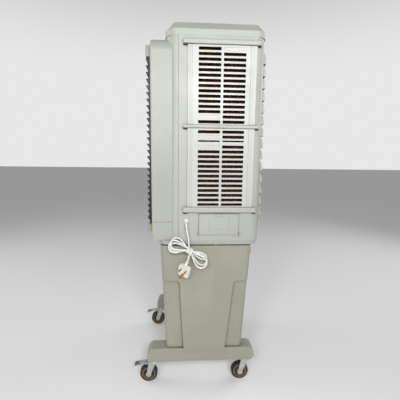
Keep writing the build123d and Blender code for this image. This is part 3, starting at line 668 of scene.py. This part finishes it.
def cord_points():
    """Centre points of the whole lead, in millimetres: gland, folded turns, binding and tail."""
    points = [Vector(p) for p in CORD_LEAD]
    half_stack = LAYER_STEP * (len(TURNS) - 1) / 2
    for turn, (left_end, left_width, right_end, right_width) in enumerate(TURNS):
        depth = LAYER_STEP * turn - half_stack
        points.append(KNOT + BOW_UP * CROSSING_LIFT + Vector((depth, 0, 0)))
        points += lobe(right_end, right_width, depth)
        points.append(KNOT - BOW_UP * CROSSING_LIFT + Vector((depth, 0, 0)))
        points += lobe(left_end, left_width, depth)
    half_x = half_stack + WRAP_GAP
    half_up = CROSSING_LIFT + WRAP_GAP
    sweep = WRAPS * 2 * math.pi + WRAP_START
    steps = WRAPS * WRAP_STEPS + 2
    for step in range(steps + 1):
        angle = WRAP_START - sweep * step / steps
        along = -WRAP_HALF_WIDTH + 2 * WRAP_HALF_WIDTH * step / steps
        point = KNOT + BOW_AXIS * along + BOW_UP * (half_up * math.sin(angle))
        point.x += half_x * math.cos(angle)
        points.append(point)
    return points + [Vector(p) for p in CORD_TAIL]


def mains_lead():
    """The lead from its gland to the plug, as one smooth curve."""
    curve = bpy.data.curves.new("mains_lead", "CURVE")
    curve.dimensions = "3D"
    curve.bevel_depth = CORD_DIAMETER / 2
    curve.bevel_resolution = 4
    curve.resolution_u = 6
    curve.use_fill_caps = True
    spline = curve.splines.new("NURBS")
    points = cord_points()
    spline.points.add(len(points) - 1)
    for control, point in zip(spline.points, points):
        control.co = (*(point * MM), 1.0)
    spline.order_u = 3
    spline.use_endpoint_u = True
    piece = bpy.data.objects.new("mains_lead", curve)
    bpy.context.scene.collection.objects.link(piece)
    curve.materials.append(MATERIALS["cord_pvc"])
    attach(piece, "cabinet")
    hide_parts("cord_lead", "cord_hank", "cord_tail")
    return piece


def curve_length(piece):
    """Length of a curve object's own line, measured on a thin copy."""
    thin = piece.data.copy()
    thin.bevel_depth = 0
    line_object = bpy.data.objects.new("thin_line", thin)
    mesh = bpy.data.meshes.new_from_object(line_object)
    line = [vertex.co.copy() for vertex in mesh.vertices]
    for leftover, store in ((line_object, bpy.data.objects), (thin, bpy.data.curves),
                            (mesh, bpy.data.meshes)):
        store.remove(leftover)
    return sum((b - a).length for a, b in zip(line, line[1:]))


# ------------------------------------------------------------------ stage
def light_panel(name, place, target, size, power, colour=(1, 1, 1)):
    """Soft rectangular studio light aimed at a point."""
    data = bpy.data.lights.new(name, "AREA")
    data.shape = "RECTANGLE"
    data.size, data.size_y = size
    data.energy = power
    data.color = colour
    lamp = bpy.data.objects.new(name, data)
    lamp.location = place
    lamp.rotation_euler = (Vector(target) - Vector(place)).to_track_quat("-Z", "Y").to_euler()
    bpy.context.scene.collection.objects.link(lamp)


def sky_fade(tree, horizon, zenith):
    """White surroundings, bright round the horizon and dimmer straight up."""
    background = tree.nodes["Background"]
    direction = tree.nodes.new("ShaderNodeTexCoord")
    split = tree.nodes.new("ShaderNodeSeparateXYZ")
    fade = tree.nodes.new("ShaderNodeMapRange")
    fade.interpolation_type = "SMOOTHSTEP"
    levels = {"From Min": 0.25, "From Max": 0.85, "To Min": horizon, "To Max": zenith}
    for name, number in levels.items():
        fade.inputs[name].default_value = number
    tree.links.new(direction.outputs["Generated"], split.inputs["Vector"])
    tree.links.new(split.outputs["Z"], fade.inputs["Value"])
    tree.links.new(fade.outputs["Result"], background.inputs["Strength"])
    background.inputs["Color"].default_value = (1.0, 1.0, 1.0, 1)


def pale_floor():
    """Large matt floor that belongs to the stage."""
    bm = bmesh.new()
    bmesh.ops.create_grid(bm, x_segments=1, y_segments=1, size=40)
    mesh = bpy.data.meshes.new("studio_floor")
    bm.to_mesh(mesh)
    bm.free()
    floor = bpy.data.objects.new("studio_floor", mesh)
    bpy.context.scene.collection.objects.link(floor)
    shader = Shader("studio_floor", 0.9)
    tone = shader.mix(shader.noise(0.8), (0.86, 0.86, 0.86), (0.88, 0.88, 0.88))
    mesh.materials.append(shader.finish(tone))


def studio():
    """Floor, even surroundings and soft lights."""
    pale_floor()
    world = bpy.data.worlds.new("studio")
    world.use_nodes = True
    sky_fade(world.node_tree, horizon=0.80, zenith=0.12)
    bpy.context.scene.world = world
    bpy.context.scene.view_settings.view_transform = "Standard"
    middle = (0, 0, 0.8)
    light_panel("key_light", (2.30, 0.35, 1.75), (0.2, 0, 1.0), (0.5, 0.5), 30, (0.97, 0.99, 1.0))
    light_panel("gloss_light", (2.0, -0.62, 1.62), (0.28, -0.1, 1.15), (0.35, 0.8), 16)
    light_panel("front_light", (-0.6, -2.8, 2.0), middle, (1.6, 1.6), 22)
    light_panel("back_light", (-1.2, 2.6, 2.1), middle, (1.6, 1.6), 22)


def photo_camera():
    """Camera on the lead's side, a little above mid height, looking slightly down and barely tilted."""
    data = bpy.data.cameras.new("photo_camera")
    data.lens = 25.2
    data.sensor_width = 36.0
    camera = bpy.data.objects.new("photo_camera", data)
    place = Vector((1.3645, -0.0453, 0.9676))
    target = Vector((0.28, 0.0137, 0.8183))
    aim = (target - place).to_track_quat("-Z", "Y").to_matrix().to_4x4()
    tilt = Matrix.Rotation(math.radians(0.628), 4, "Z")
    camera.matrix_world = Matrix.Translation(place) @ aim @ tilt
    bpy.context.scene.collection.objects.link(camera)
    bpy.context.scene.camera = camera


# ------------------------------------------------------------------ assembly
photo_camera()
studio()
paint_frame()
for side, sign in SIDES.items():
    for station in STATIONS:
        wheel_pieces(side, station)
        caster_hardware(side, station)
    pedal_toe(side)
    grille_screws(side, sign)
    shaded_rail_feet(side, sign)
    low, high = limits(f"pad_{side}")
    corrugated_pad(f"pad_{side}", 1, 0, high.x if sign > 0 else low.x, -sign)
low, high = limits("pad_back")
corrugated_pad("pad_back", 0, 1, high.y, -1)
flap_relief()
lead = mains_lead()
lead_length = curve_length(lead)
